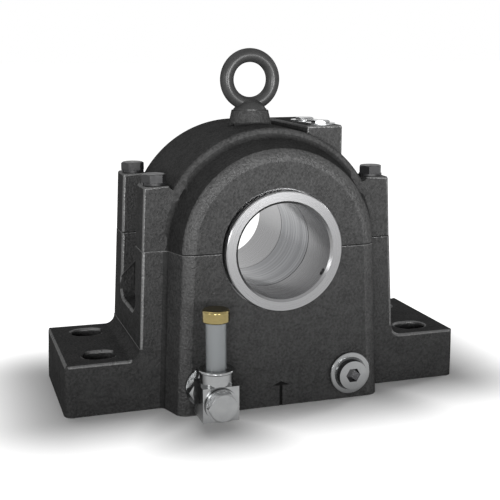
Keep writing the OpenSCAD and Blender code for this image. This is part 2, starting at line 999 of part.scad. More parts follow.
module gauge_end_plug() {
    color(plated)
        in_front_of_elbow() {
            translate([0, 0, end_seal_t])
                cylinder(h = end_plug_flange_t, d = end_plug_flange_d);
            translate([0, 0, end_seal_t + end_plug_flange_t])
                hex_head(end_plug_flats, end_plug_h);
            translate([0, 0, end_seal_t - end_plug_thread_len])
                cylinder(h = end_plug_thread_len + 1, d = end_plug_thread_d);
        }
}

module gauge_end_seal() {
    color(aluminium)
        in_front_of_elbow()
            tube(end_plug_flange_d - 3, end_plug_thread_d + 0.4, end_seal_t);
}

// Ring that turns with the shaft, from its outer face in to inner_end
module labyrinth_ring(inner_end, screw_a) {
    bore_r = shaft_d / 2;
    hub_r = ring_d / 2;
    difference() {
        rotate([-90, 0, 0])
            rotate_extrude($fn = 180) {
                polygon([
                    [bore_r, inner_end],
                    [sleeve_part_d / 2, inner_end],
                    [sleeve_part_d / 2, chamber_reach],
                    [hub_r, chamber_reach],
                    [hub_r, ring_reach - ring_edge],
                    [hub_r - ring_edge, ring_reach],
                    [bore_r + ring_chamfer, ring_reach],
                    [bore_r, ring_reach - ring_chamfer]
                ]);
                for (y = [web_outer, web_inner])
                    translate([hub_r - 1, y - web_t / 2])
                        square([web_h + 1, web_t]);
                translate([sleeve_part_d / 2 - 1, flinger_y - web_t / 2])
                    square([ring_d / 2 + flinger_h - sleeve_part_d / 2 + 1, web_t]);
            }
        grub_places(screw_a)
            translate([0, 0, -1])
                cylinder(h = hub_r, d = grub_d + 2 * thread_gap);
    }
}

// Three radial places in a ring's rim, the first at an angle from the top
module grub_places(first) {
    for (a = [0, 120, 240])
        translate([0, grub_y, 0])
            rotate([0, a + first, 0])
                translate([0, 0, shaft_d / 2])
                    children();
}

module labyrinth_ring_front() {
    color(turned_steel)
        translate([0, 0, centre_h])
            mirror([0, 1, 0])
                labyrinth_ring(-sleeve_front + sleeve_gap, 0);
}

module labyrinth_ring_rear() {
    color(turned_steel)
        translate([0, 0, centre_h])
            labyrinth_ring(sleeve_rear + sleeve_gap, rear_screw_a);
}

module grub_screws() {
    screw_len = (ring_d - shaft_d) / 2 - grub_foot - grub_short;
    color(dark_steel)
        translate([0, 0, centre_h])
            for (side = [0, 1])
                mirror([0, side, 0])
                    grub_places(side > 0 ? 0 : rear_screw_a)
                        translate([0, 0, grub_foot])
                            difference() {
                                cylinder(h = screw_len, d = grub_d);
                                translate([0, 0, screw_len - grub_socket_depth])
                                    hex(grub_socket_flats, grub_socket_depth + 1);
                            }
}

// The two inner tracks between the ribs, in (radius, distance along the shaft)
module inner_tracks(reach) {
    intersection() {
        for (side = [-1, 1])
            translate([inner_track_c * cos(contact_a), side * inner_track_c * sin(contact_a)])
                circle(track_r, $fn = 360);
        translate([0, -reach])
            square([big, 2 * reach]);
    }
}

module bearing_outer_ring() {
    half = bearing_w / 2;
    color(bearing_steel)
        difference() {
            about_shaft()
                difference() {
                    translate([bearing_d / 2 - outer_ring_t, -half])
                        square([outer_ring_t, bearing_w]);
                    circle(track_r, $fn = 360);
                    translate([bearing_d / 2 - oil_groove_depth, -oil_groove_w / 2])
                        square([2 * oil_groove_depth, oil_groove_w]);
                }
            // oil holes from the groove into the bearing
            translate([0, 0, centre_h])
                for (a = [0, 120, 240])
                    rotate([0, a, 0])
                        cylinder(h = bearing_d, r = oil_hole_r);
        }
}

module bearing_inner_ring() {
    half = bearing_w / 2;
    rib_r = bearing_bore_r + rib_h;
    ridge_r = bearing_bore_r + ridge_h;
    color(bearing_steel)
        about_shaft() {
            difference() {
                polygon([
                    [bearing_bore_r, -half],
                    [bearing_bore_r + bearing_w * cone_rate, half],
                    [rib_r, half],
                    [rib_r, half - rib_w],
                    [ridge_r, half - rib_w],
                    [ridge_r, rib_w - half],
                    [rib_r, rib_w - half],
                    [rib_r, -half]
                ]);
                inner_tracks(half - rib_w);
            }
        }
}

// Places children at each roller of one row, their z axis along the roller
module roller_places(side) {
    translate([0, 0, centre_h])
        for (i = [0 : roller_n - 1])
            rotate([0, i * 360 / roller_n, 0])
                translate([0, side * roller_y, roller_radius])
                    rotate([-side * (90 + contact_a), 0, 0])
                        children();
}

module roller() {
    rotate_extrude($fn = 48)
        intersection() {
            translate([roller_d / 2 - roller_profile_r, 0])
                circle(roller_profile_r, $fn = 360);
            translate([0, -roller_len / 2])
                square([roller_d, roller_len]);
        }
}

module rollers_front() {
    color(bearing_steel)
        roller_places(-1)
            roller();
}

module rollers_rear() {
    color(bearing_steel)
        roller_places(1)
            roller();
}

// Cone shaped band on the roller axes, with a pocket for each roller
module cage(side) {
    color(cage_steel)
        difference() {
            about_shaft()
                translate([roller_radius, side * roller_y])
                    rotate(side * contact_a)
                        translate([-cage_t / 2, side > 0 ? -cage_near : -cage_far])
                            square([cage_t, cage_near + cage_far]);
            roller_places(side)
                cylinder(h = roller_len + 2 * cage_gap, r = roller_d / 2 + cage_gap, center = true);
        }
}

module cage_front() {
    cage(-1);
}

module cage_rear() {
    cage(1);
}

// Floating ring that keeps the two rows of rollers square
module guide_ring() {
    color(bearing_steel)
        about_shaft()
            polygon([
                [guide_in, -guide_w / 2],
                [guide_out, -guide_rim_w / 2],
                [guide_out, guide_rim_w / 2],
                [guide_in, guide_w / 2]
            ]);
}

module adapter_sleeve() {
    seat_r = bearing_bore_r - fit;
    half = bearing_w / 2;
    color(turned_steel)
        difference() {
            about_shaft()
                polygon([
                    [shaft_d / 2, sleeve_front],
                    [seat_r - 0.1, sleeve_front],
                    [seat_r - 0.1, -half],
                    [seat_r, -half],
                    [seat_r + (half + sleeve_rear) * cone_rate, sleeve_rear],
                    [shaft_d / 2, sleeve_rear]
                ]);
            translate([0, 0, centre_h])
                rotate([0, 90 - slit_a, 0])
                    translate([-sleeve_slit / 2, -big / 2, 0])
                        cube([sleeve_slit, big, big]);
        }
}

module tab_washer() {
    half = bearing_w / 2;
    outer = nut_d / 2 - tab_washer_inset;
    notch = 0.4 * (outer - bearing_bore_r);
    color(bearing_steel)
        translate([0, 0, centre_h])
            difference() {
                rotate([90, 0, 0])
                    translate([0, 0, half])
                        tube(2 * outer, 2 * bearing_bore_r + 0.2, tab_washer_t);
                for (i = [0 : 12])
                    rotate([0, i * 360 / 13, 0])
                        translate([0, -half - tab_washer_t / 2, outer])
                            cube([tab_notch_w, tab_washer_t + 1, 2 * notch], center = true);
            }
}

module sleeve_nut() {
    back = bearing_w / 2 + tab_washer_t;
    color(bearing_steel)
        translate([0, 0, centre_h])
            difference() {
                rotate([90, 0, 0])
                    translate([0, 0, back])
                        tube(nut_d, 2 * bearing_bore_r + 0.1, nut_w);
                for (a = [0, 90, 180, 270])
                    rotate([0, a, 0])
                        translate([0, -back - nut_w / 2, nut_d / 2])
                            cube([nut_slot_w, nut_w + 1, 2 * nut_slot_depth], center = true);
            }
}

// Open rings that fill the seat beside the bearing
module locating_rings() {
    gap_w = 30;
    inner = bearing_w / 2 + fit;
    color(bearing_steel)
        difference() {
            about_shaft()
                for (side = [0, 1])
                    mirror([0, side])
                        translate([bearing_d / 2 - locating_h, inner])
                            square([locating_h, locating_w - 2 * fit]);
            translate([-gap_w / 2, -big / 2, centre_h])
                cube([gap_w, big, big]);
        }
}

housing_base();
housing_cap();
cap_bolts();
cap_bolt_washers();
dowel_pins();
eye_bolt();
pad_plugs();
pad_plug_seals();
drain_plug();
drain_plug_seal();
gauge_elbow();
gauge_lock_nut();
gauge_washer();
gauge_collar_nut();
gauge_glass();
gauge_glass_seal();
gauge_cap();
gauge_end_plug();
gauge_end_seal();
labyrinth_ring_front();
labyrinth_ring_rear();
grub_screws();
bearing_outer_ring();
bearing_inner_ring();
rollers_front();
rollers_rear();
cage_front();
cage_rear();
guide_ring();
adapter_sleeve();
sleeve_nut();
tab_washer();
locating_rings();
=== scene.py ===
import json
import math

import bpy
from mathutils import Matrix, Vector
from mathutils.kdtree import KDTree


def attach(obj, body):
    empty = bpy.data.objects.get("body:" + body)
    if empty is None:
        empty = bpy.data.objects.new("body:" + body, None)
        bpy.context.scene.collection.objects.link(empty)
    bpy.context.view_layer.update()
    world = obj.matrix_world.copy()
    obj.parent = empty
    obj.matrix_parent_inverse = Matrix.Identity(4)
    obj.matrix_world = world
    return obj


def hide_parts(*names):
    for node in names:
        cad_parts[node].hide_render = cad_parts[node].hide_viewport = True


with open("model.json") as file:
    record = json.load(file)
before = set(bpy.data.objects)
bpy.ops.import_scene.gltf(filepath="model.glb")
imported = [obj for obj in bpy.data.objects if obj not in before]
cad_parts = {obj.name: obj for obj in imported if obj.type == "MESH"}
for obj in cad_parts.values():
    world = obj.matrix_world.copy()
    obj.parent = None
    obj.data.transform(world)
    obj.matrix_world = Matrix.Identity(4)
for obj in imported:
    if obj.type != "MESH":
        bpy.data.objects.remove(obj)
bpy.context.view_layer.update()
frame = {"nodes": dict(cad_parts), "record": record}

nodes = frame["nodes"]
shaftHeight = 0.135  # the shaft's axis runs along Y at this height
bpy.ops.object.select_all(action="DESELECT")


# helpers for materials

def hexColour(text):
    parts = [int(text[i:i + 2], 16) / 255 for i in (1, 3, 5)]
    linear = [p / 12.92 if p <= 0.04045 else ((p + 0.055) / 1.055) ** 2.4 for p in parts]
    return (*linear, 1.0)


def addNode(tree, kind, settings=None, inputs=None, links=None):
    node = tree.nodes.new(kind)
    for name, value in (settings or {}).items():
        setattr(node, name, value)
    for name, value in (inputs or {}).items():
        node.inputs[name].default_value = value
    for name, source in (links or {}).items():
        tree.links.new(source, node.inputs[name])
    return node


def newMaterial(name):
    material = bpy.data.materials.new(name)
    material.use_nodes = True
    material.node_tree.nodes.clear()
    return material, material.node_tree


def perMm(size):
    return 1000 / size  # texture scale whose features are this many millimetres wide


def closeMaterial(tree, shader):
    addNode(tree, "ShaderNodeOutputMaterial", links={"Surface": shader.outputs[0]})


# what all coats of black paint share: how much the swell adds to the grain, and which stretches of
# the patterns run from hollow to crest and from smooth to rough
paintPattern = {"grainDetail": 2.5, "grainRoughness": 0.6, "swellDetail": 3.0, "swellShare": 0.35,
                "toneFrom": 0.5, "toneTo": 0.85, "glossFrom": 0.35, "glossTo": 0.65}
# painted cast iron: the sand mould leaves a fine pimpled skin that semi-gloss black paint rounds off
castSkin = {"hollow": "#2f2f2f", "crest": "#434343", "grainMm": 2.1, "swellMm": 14,
            "bump": 1.0, "depthMm": 1.3, "smoothest": 0.34, "roughest": 0.46, "shine": 0.01}
# the same paint on rounded edges, paler and glossier: a painted highlight along the edges
castEdgeHighlight = {"hollow": "#383838", "crest": "#525252", "grainMm": 2.1, "swellMm": 14,
            "bump": 0.8, "depthMm": 0.8, "smoothest": 0.26, "roughest": 0.36, "shine": 0.07}
# the crowned front edge of the seal bosses, a little brighter than the faces: a painted highlight
castCrownHighlight = {"hollow": "#333333", "crest": "#4a4a4a", "grainMm": 2.1, "swellMm": 14,
             "bump": 1.0, "depthMm": 1.3, "smoothest": 0.3, "roughest": 0.4, "shine": 0.02}
# inner corners and the seal bosses' walls, painted darker: painted shade
castHollowShade = {"hollow": "#222222", "crest": "#303030", "grainMm": 2.1, "swellMm": 14,
              "bump": 0.8, "depthMm": 0.8, "smoothest": 0.4, "roughest": 0.5, "shine": 0.006}
# the open joint under the cap's lower edge, painted nearly black: painted shade of the gap
seamShadePaint = {"hollow": "#101010", "crest": "#1a1a1a", "grainMm": 2.1, "swellMm": 14,
             "bump": 0.5, "depthMm": 0.4, "smoothest": 0.5, "roughest": 0.6, "shine": 0.004}
# drop-forged eye under the same black paint: smoother than the casting
paintedForging = {"hollow": "#2c2c2c", "crest": "#383838", "grainMm": 1.1, "swellMm": 12,
                  "bump": 0.3, "depthMm": 0.2, "smoothest": 0.28, "roughest": 0.4, "shine": 0.018}


def blackPaint(name, looks):
    material, tree = newMaterial(name)
    place = addNode(tree, "ShaderNodeTexCoord")
    grain = addNode(tree, "ShaderNodeTexNoise", None,
                    {"Scale": perMm(looks["grainMm"]), "Detail": paintPattern["grainDetail"],
                     "Roughness": paintPattern["grainRoughness"]},
                    {"Vector": place.outputs["Object"]})
    swell = addNode(tree, "ShaderNodeTexNoise", None,
                    {"Scale": perMm(looks["swellMm"]), "Detail": paintPattern["swellDetail"]},
                    {"Vector": place.outputs["Object"]})
    both = addNode(tree, "ShaderNodeMath", {"operation": "MULTIPLY_ADD"},
                   {1: paintPattern["swellShare"]},
                   {0: swell.outputs["Fac"], 2: grain.outputs["Fac"]})
    tone = addNode(tree, "ShaderNodeMapRange", None,
                   {"From Min": paintPattern["toneFrom"], "From Max": paintPattern["toneTo"]},
                   {"Value": both.outputs[0]})
    colour = addNode(tree, "ShaderNodeMix", {"data_type": "RGBA"},
                     {"A": hexColour(looks["hollow"]), "B": hexColour(looks["crest"])},
                     {"Factor": tone.outputs[0]})
    gloss = addNode(tree, "ShaderNodeMapRange", None,
                    {"From Min": paintPattern["glossFrom"], "From Max": paintPattern["glossTo"],
                     "To Min": looks["smoothest"], "To Max": looks["roughest"]},
                    {"Value": swell.outputs["Fac"]})
    bump = addNode(tree, "ShaderNodeBump", None,
                   {"Strength": looks["bump"], "Distance": looks["depthMm"] / 1000},
                   {"Height": grain.outputs["Fac"]})
    body = addNode(tree, "ShaderNodeBsdfDiffuse", None, None,
                   {"Color": colour.outputs["Result"], "Normal": bump.outputs[0]})
    sheen = addNode(tree, "ShaderNodeBsdfAnisotropic", None, {"Color": (1, 1, 1, 1)},
                    {"Roughness": gloss.outputs[0], "Normal": bump.outputs[0]})
    shader = addNode(tree, "ShaderNodeMixShader", None, {0: looks["shine"]},
                     {1: body.outputs[0], 2: sheen.outputs[0]})
    closeMaterial(tree, shader)
    return material


# turned steel: a lathe tool leaves fine rings round the shaft's axis, bright and slightly soft
turning = {"base": "#959596", "line": "#7b7b7c", "lineMm": 0.5, "smoothest": 0.2, "roughest": 0.34,
           "bump": 0.12, "depthMm": 0.03}
# bored steel inside the sleeve: wider rings, and darker than the turned steel
boring = {"base": "#8a8b8d", "line": "#5c5d60", "lineMm": 2.6, "smoothest": 0.16, "roughest": 0.3,
          "bump": 0.15, "depthMm": 0.04}


def turnedSteel(name, looks):
    material, tree = newMaterial(name)
    place = addNode(tree, "ShaderNodeTexCoord")
    centred = addNode(tree, "ShaderNodeMapping", None,
                      {"Location": (0, 0, -shaftHeight)}, {"Vector": place.outputs["Object"]})
    flat = addNode(tree, "ShaderNodeVectorMath", {"operation": "MULTIPLY"}, {1: (1, 0, 1)},
                   {0: centred.outputs[0]})
    radius = addNode(tree, "ShaderNodeVectorMath", {"operation": "LENGTH"}, None, {0: flat.outputs[0]})
    parts = addNode(tree, "ShaderNodeSeparateXYZ", None, None, {0: centred.outputs[0]})
    track = addNode(tree, "ShaderNodeCombineXYZ", None, None,
                    {"X": radius.outputs["Value"], "Y": parts.outputs["Y"]})
    lines = addNode(tree, "ShaderNodeTexNoise", {"noise_dimensions": "2D"},
                    {"Scale": perMm(looks["lineMm"]), "Detail": 1.0}, {"Vector": track.outputs[0]})
    colour = addNode(tree, "ShaderNodeMix", {"data_type": "RGBA"},
                     {"A": hexColour(looks["base"]), "B": hexColour(looks["line"])},
                     {"Factor": lines.outputs["Fac"]})
    gloss = addNode(tree, "ShaderNodeMapRange", None,
                    {"To Min": looks["smoothest"], "To Max": looks["roughest"]},
                    {"Value": lines.outputs["Fac"]})
    bump = addNode(tree, "ShaderNodeBump", None,
                   {"Strength": looks["bump"], "Distance": looks["depthMm"] / 1000},
                   {"Height": lines.outputs["Fac"]})
    shader = addNode(tree, "ShaderNodeBsdfPrincipled", None, {"Metallic": 1.0},
                     {"Base Color": colour.outputs["Result"], "Roughness": gloss.outputs[0],
                      "Normal": bump.outputs[0]})
    closeMaterial(tree, shader)
    return material


# a metal with a plain worked surface: small patches of tone and gloss, and a faint tooth
metalPattern = {"patchDetail": 4.0, "toothDetail": 2.0, "glossFrom": 0.3, "glossTo": 0.7}


def workedMetal(name, looks, socketShade=None):
    material, tree = newMaterial(name)
    place = addNode(tree, "ShaderNodeTexCoord")
    patches = addNode(tree, "ShaderNodeTexNoise", None,
                      {"Scale": perMm(looks["patchMm"]), "Detail": metalPattern["patchDetail"]},
                      {"Vector": place.outputs["Object"]})
    tooth = addNode(tree, "ShaderNodeTexNoise", None,
                    {"Scale": perMm(looks["toothMm"]), "Detail": metalPattern["toothDetail"]},
                    {"Vector": place.outputs["Object"]})
    colour = addNode(tree, "ShaderNodeMix", {"data_type": "RGBA"},
                     {"A": hexColour(looks["light"]), "B": hexColour(looks["dark"])},
                     {"Factor": patches.outputs["Fac"]})
    if socketShade:
        # painted shade darkens the inside of the key socket, behind the front of the head
        flat = addNode(tree, "ShaderNodeVectorMath", {"operation": "MULTIPLY"}, {1: (1, 0, 1)},
                       {0: place.outputs["Object"]})
        away = addNode(tree, "ShaderNodeVectorMath", {"operation": "DISTANCE"}, {1: socketShade["axis"]},
                       {0: flat.outputs[0]})
        near = addNode(tree, "ShaderNodeMath", {"operation": "LESS_THAN"}, {1: socketShade["reach"]},
                       {0: away.outputs["Value"]})
        parts = addNode(tree, "ShaderNodeSeparateXYZ", None, None, {0: place.outputs["Object"]})
        deep = addNode(tree, "ShaderNodeMath", {"operation": "GREATER_THAN"}, {1: socketShade["frontY"]},
                       {0: parts.outputs["Y"]})
        inside = addNode(tree, "ShaderNodeMath", {"operation": "MULTIPLY"}, None,
                         {0: near.outputs[0], 1: deep.outputs[0]})
        colour = addNode(tree, "ShaderNodeMix", {"data_type": "RGBA"}, {"B": hexColour(socketShade["shade"])},
                         {"Factor": inside.outputs[0], "A": colour.outputs["Result"]})
    gloss = addNode(tree, "ShaderNodeMapRange", None,
                    {"From Min": metalPattern["glossFrom"], "From Max": metalPattern["glossTo"],
                     "To Min": looks["smoothest"], "To Max": looks["roughest"]},
                    {"Value": patches.outputs["Fac"]})
    bump = addNode(tree, "ShaderNodeBump", None,
                   {"Strength": looks["bump"], "Distance": looks["depthMm"] / 1000},
                   {"Height": tooth.outputs["Fac"]})
    shader = addNode(tree, "ShaderNodeBsdfPrincipled", None, {"Metallic": looks["metallic"]},
                     {"Base Color": colour.outputs["Result"], "Roughness": gloss.outputs[0],
                      "Normal": bump.outputs[0]})
    closeMaterial(tree, shader)
    return material


# drawn glass tube: the haze of age inside it turns the clear wall to a milky grey
tubeGlass = {"tint": "#b4b8ba", "clearness": 0.6, "bending": 1.47, "hazeMm": 9, "hazeDetail": 3.0,
             "smoothest": 0.12, "roughest": 0.3}


def drawnGlass():
    material, tree = newMaterial("drawnGlass")
    place = addNode(tree, "ShaderNodeTexCoord")
    haze = addNode(tree, "ShaderNodeTexNoise", None,
                   {"Scale": perMm(tubeGlass["hazeMm"]), "Detail": tubeGlass["hazeDetail"]},
                   {"Vector": place.outputs["Object"]})
    gloss = addNode(tree, "ShaderNodeMapRange", None,
                    {"To Min": tubeGlass["smoothest"], "To Max": tubeGlass["roughest"]},
                    {"Value": haze.outputs["Fac"]})
    shader = addNode(tree, "ShaderNodeBsdfPrincipled", None,
                     {"Base Color": hexColour(tubeGlass["tint"]),
                      "Transmission Weight": tubeGlass["clearness"], "IOR": tubeGlass["bending"]},
                     {"Roughness": gloss.outputs[0]})
    closeMaterial(tree, shader)
    return material


# zinc plated steel fittings: pale grey, satin
zincPlate = {"light": "#959696", "dark": "#848586", "patchMm": 6, "toothMm": 0.5, "smoothest": 0.14,
             "roughest": 0.24, "bump": 0.06, "depthMm": 0.04, "metallic": 1.0}
# blackened steel: bolts and washers, dark oxide with a dull sheen
blackOxide = {"light": "#303031", "dark": "#222223", "patchMm": 5, "toothMm": 0.6, "smoothest": 0.4,
              "roughest": 0.55, "bump": 0.1, "depthMm": 0.05, "metallic": 0.4}
# ground bearing steel: bright, even
groundSteel = {"light": "#c2c6c9", "dark": "#aeb3b6", "patchMm": 3, "toothMm": 0.4, "smoothest": 0.16,
               "roughest": 0.24, "bump": 0.04, "depthMm": 0.02, "metallic": 1.0}
# pressed steel cage: a little warmer and duller
pressedSteel = {"light": "#aaa79c", "dark": "#8f8c82", "patchMm": 4, "toothMm": 0.5, "smoothest": 0.3,
                "roughest": 0.42, "bump": 0.06, "depthMm": 0.03, "metallic": 1.0}
# soft aluminium sealing washers: dull
softAluminium = {"light": "#b8babb", "dark": "#a2a4a5", "patchMm": 3, "toothMm": 0.5, "smoothest": 0.4,
                 "roughest": 0.5, "bump": 0.06, "depthMm": 0.03, "metallic": 1.0}
# turned brass, lightly tarnished
turnedBrass = {"light": "#96895f", "dark": "#7e714a", "patchMm": 5, "toothMm": 0.6, "smoothest": 0.14,
               "roughest": 0.24, "bump": 0.06, "depthMm": 0.04, "metallic": 1.0}
# moulded nitrile rubber seal: matt black
nitrile = {"light": "#1a1a1a", "dark": "#101010", "patchMm": 4, "toothMm": 0.5, "smoothest": 0.6,
           "roughest": 0.75, "bump": 0.1, "depthMm": 0.05, "metallic": 0.0}

finishes = {
    "painted_iron": blackPaint("paintedCastIron", castSkin),
    "painted_steel": blackPaint("paintedForging", paintedForging),
    "dark_steel": workedMetal("blackOxideSteel", blackOxide),
    "turned_steel": turnedSteel("turnedSteel", turning),
    "bearing_steel": workedMetal("groundBearingSteel", groundSteel),
    "cage_steel": workedMetal("pressedSteel", pressedSteel),
    "plated_steel": workedMetal("zincPlatedSteel", zincPlate),
    "seal_metal": workedMetal("softAluminium", softAluminium),
    "seal_rubber": workedMetal("nitrileRubber", nitrile),
    "brass": workedMetal("turnedBrass", turnedBrass),
    "gauge_glass": drawnGlass(),
}
boredSteel = turnedSteel("boredSteel", boring)
# a painted highlight on the rounded edges
edgeHighlightPaint = blackPaint("paintedCastEdgeHighlight", castEdgeHighlight)
# painted shade in the joint's seam
paintedSeamShade = blackPaint("paintedCastSeamShade", seamShadePaint)
# a painted highlight on the seal bosses' crowns
crownHighlightPaint = blackPaint("paintedCastCrownHighlight", castCrownHighlight)
# painted shade in the inner corners and on the seal bosses' walls
hollowShadePaint = blackPaint("paintedCastHollowShade", castHollowShade)

# the drain plug's key socket, metres, for the painted shade inside it: its axis, its reach over the
# hexagon's corners, and the depth behind the head's front from which the shade is painted
plugSocketShade = {"axis": (0.062, 0, 0.0236), "reach": 0.0067, "depth": 0.0003, "shade": "#4a4a4b"}
plugFront = min(vertex.co.y for vertex in nodes["drain_plug"].data.vertices)
plugSocketShade["frontY"] = plugFront + plugSocketShade["depth"]
ownFinish = {"adapter_sleeve": boredSteel,
             "drain_plug": workedMetal("zincPlateWithSocketShade", zincPlate, plugSocketShade)}
print("materials made:", len(bpy.data.materials))

for part in frame["record"]["subparts"]:
    node = nodes[part["node"]]
    node.data.materials.clear()
    node.data.materials.append(ownFinish.get(part["node"], finishes[part["material_slot"]]))


# castings: copies of the CAD meshes with the rounded edges that a mould gives

# how each kind of edge is rounded, in millimetres, and the fold in degrees from which it is: outer
# edges, inner corners, the joint of cap and base, machined edges
castings = {"edgeMm": 2.2, "filletMm": 3.0, "partingMm": 0.7, "machinedMm": 0.5, "leastMm": 0.05,
            "sharpest": 28, "segments": 4, "smoothDegrees": 30}
# the room that a rounding may take up beside its edge: a share of the distance to the nearest other
# edge that isn't its own run, looked for at points this far apart
room = {"share": 0.42, "searchTimes": 2.4, "ownRun": 0.6, "pointStep": 0.001, "least": 0.00001,
        "stripCorners": 7, "open": 1.0}
# which results of a rounding count as folded, and which edges near them are then left sharp: those
# within a reach that grows, and shorter than the length given for each attempt
folded = {"outside": 0.00005, "leastArea": 0.0000002, "leastHeight": 0.00003, "alike": 0.3,
          "attempts": 5, "careMm": 2.5, "longestLeft": (0.012, 0.012, 0.04, 1.0)}
# flat faces are joined again after each rounding, within these lengths in metres and degrees
merging = {"distance": 0.00003, "shortest": 0.00002, "flat": 0.6, "quadFace": 2, "quadShape": 40}
# a vertex or an edge lies in a plane within this, metres
nearPlane = 0.0005
# the bored inside of the housing, metres: its edges are machined
bores = {"radius": 0.0815, "reach": 0.0865}
# the seal bosses as the CAD has them, in metres: where their walls meet the body and where they end,
# how far the roots slide outward, and the band that their walls then fill
bossRoot = {"radius": 0.0863, "faceY": 0.0578, "footY": 0.0604, "legLean": math.tan(math.radians(2.8)),
            "wallLean": math.tan(math.radians(7.7)), "within": 0.0009, "browY": 0.0805,
            "faceWithin": 0.0006, "browWithin": 0.0002, "spreadMm": 4.0,
            "wallFrom": 0.0822, "wallTo": 0.0915}
# the crown between a boss's wall and its face: its slope, degrees
crown = {"flattest": 1.0, "steepest": 58}
# the centre mark cut into the front seal boss, metres: painted shade in its groove, a painted highlight
# on its arrow head
centreMark = {"halfWidth": 0.0085, "grooveHalf": 0.0016, "top": 0.0225, "front": -0.0849,
              "floor": -0.0835}
# places that keep their sharp edge, one quarter of the block: dowel marks, the feet's corners above
# and below, the eye bolt boss's rim, the lugs' dips
keptSharp = [((0.1535, 0, 0.04), (0.1655, 0.006, 0.046)),
             ((0.1686, 0.0513, 0.0425), (0.18, 0.062, 0.046)),
             ((0.165, 0.05, -0.001), (0.19, 0.07, 0.0015)),
             ((-0.001, -0.001, 0.2385), (0.028, 0.028, 0.262)),
             ((0.068, 0, 0.178), (0.0925, 0.06, 0.1895))]
# the recesses between the columns: their inner corners stay sharp beyond this x and within this y
recess = {"fromX": 0.08, "toY": 0.0305}
# the castings' material slots
slots = {"skin": 0, "edge": 1, "seamShade": 2, "crown": 3, "hollow": 4}


def mergeFlatFaces():
    # joins what the bevels and the CAD's triangles leave apart in one flat face
    bpy.ops.object.mode_set(mode="EDIT")
    bpy.ops.mesh.select_all(action="SELECT")
    bpy.ops.mesh.remove_doubles(threshold=merging["distance"])
    bpy.ops.mesh.dissolve_degenerate(threshold=merging["shortest"])
    bpy.ops.mesh.select_all(action="SELECT")
    bpy.ops.mesh.dissolve_limited(angle_limit=math.radians(merging["flat"]), delimit={"MATERIAL"})
    bpy.ops.mesh.select_all(action="SELECT")
    bpy.ops.mesh.tris_convert_to_quads(face_threshold=math.radians(merging["quadFace"]),
                                       shape_threshold=math.radians(merging["quadShape"]))
    bpy.ops.object.mode_set(mode="OBJECT")


def copyOfNode(name, title):
    piece = nodes[name].copy()
    piece.data = nodes[name].data.copy()
    piece.name = title
    piece.parent = None
    for key in list(piece.keys()):
        del piece[key]
    bpy.context.scene.collection.objects.link(piece)
    bpy.ops.object.select_all(action="DESELECT")
    piece.select_set(True)
    bpy.context.view_layer.objects.active = piece
    mergeFlatFaces()
    return piece


def spreadBossRoots(piece):
    # slides the seal bosses' roots outward in the body's faces, so that their walls lean as cast
    spread = bossRoot["spreadMm"] / 1000
    moved = 0
    for vertex in piece.data.vertices:
        x, y, z = vertex.co
        up = z - shaftHeight
        away = math.hypot(x, max(up, 0.0)) + min(up, 0.0) * bossRoot["legLean"]
        if up > nearPlane:
            rise = max(0.0, abs(y) - bossRoot["faceY"])
            reach = bossRoot["browY"] - nearPlane
        else:
            rise = 0.0
            reach = bossRoot["footY"] + bossRoot["faceWithin"]
        share = 1.0 - rise / (bossRoot["browY"] - bossRoot["faceY"])
        onWall = bossRoot["faceY"] - bossRoot["faceWithin"] < abs(y) < reach
        if onWall and abs(away + rise * bossRoot["wallLean"] - bossRoot["radius"]) < bossRoot["within"]:
            outward = Vector((x, 0, max(up, 0.0))).normalized()
            vertex.co += outward * spread * share
            moved += 1
    return moved


def edgeFolds(mesh):
    # for each edge between two faces: its fold angle, and whether it is hollow
    around = {}
    for face in mesh.polygons:
        corners = list(face.vertices)
        for here, after in zip(corners, corners[1:] + corners[:1]):
            along = mesh.vertices[after].co - mesh.vertices[here].co
            key = (min(here, after), max(here, after))
            around.setdefault(key, []).append((face.normal.copy(), along))
    folds = {}
    for key, sides in around.items():
        if len(sides) == 2:
            (first, along), (second, _) = sides
            folds[key] = (first.angle(second, 0), first.cross(second).dot(along) < 0)
    return folds


def wantedRounding(middle, hollow):
    # the radius in millimetres that the mould or the machining leaves on this edge
    fromShaft = math.hypot(middle.x, middle.z - shaftHeight)
    x, y, z = abs(middle.x), abs(middle.y), middle.z
    for low, high in keptSharp:
        if low[0] < x < high[0] and low[1] < y < high[1] and low[2] < z < high[2]:
            return 0
    if hollow and x > recess["fromX"] and y < recess["toY"]:
        return 0
    if abs(z - shaftHeight) < nearPlane:
        return castings["partingMm"]
    if z < nearPlane or (fromShaft < bores["radius"] and y < bores["reach"]):
        return 0 if hollow else castings["machinedMm"]
    return castings["filletMm"] if hollow else castings["edgeMm"]


def stripWidth(face, length):
    # how far a face reaches sideways from one of its edges, where it is a plain strip
    return face.area / length if len(face.vertices) < room["stripCorners"] else room["open"]


def passesNear(first, last, point, reach):
    along = last - first
    squared = max(along.length_squared, room["least"] ** 2)
    share = max(0.0, min(1.0, (point - first).dot(along) / squared))
    return (first + along * share - point).length < reach


def foldedPlaces(piece, low, high):
    # where a rounding has folded a face over itself or has left the casting's own box
    mesh = piece.data
    places = []
    for vertex in mesh.vertices:
        inside = Vector([max(low[i], min(high[i], vertex.co[i])) for i in range(3)])
        if (inside - vertex.co).length > folded["outside"]:
            places.append(inside)
    mesh.calc_loop_triangles()
    for triangle in mesh.loop_triangles:
        face = mesh.polygons[triangle.polygon_index]
        turnedOver = triangle.normal.dot(face.normal) < folded["alike"]
        if triangle.area > folded["leastArea"] and turnedOver:
            corners = [mesh.vertices[i].co for i in triangle.vertices]
            sides = [(corners[k], corners[(k + 1) % 3]) for k in range(3)]
            sides.sort(key=lambda side: (side[0] - side[1]).length)
            height = 2 * triangle.area / (sides[2][0] - sides[2][1]).length
            if height > folded["leastHeight"]:
                places.append((sides[0][0] + sides[0][1]) / 2)
    return places


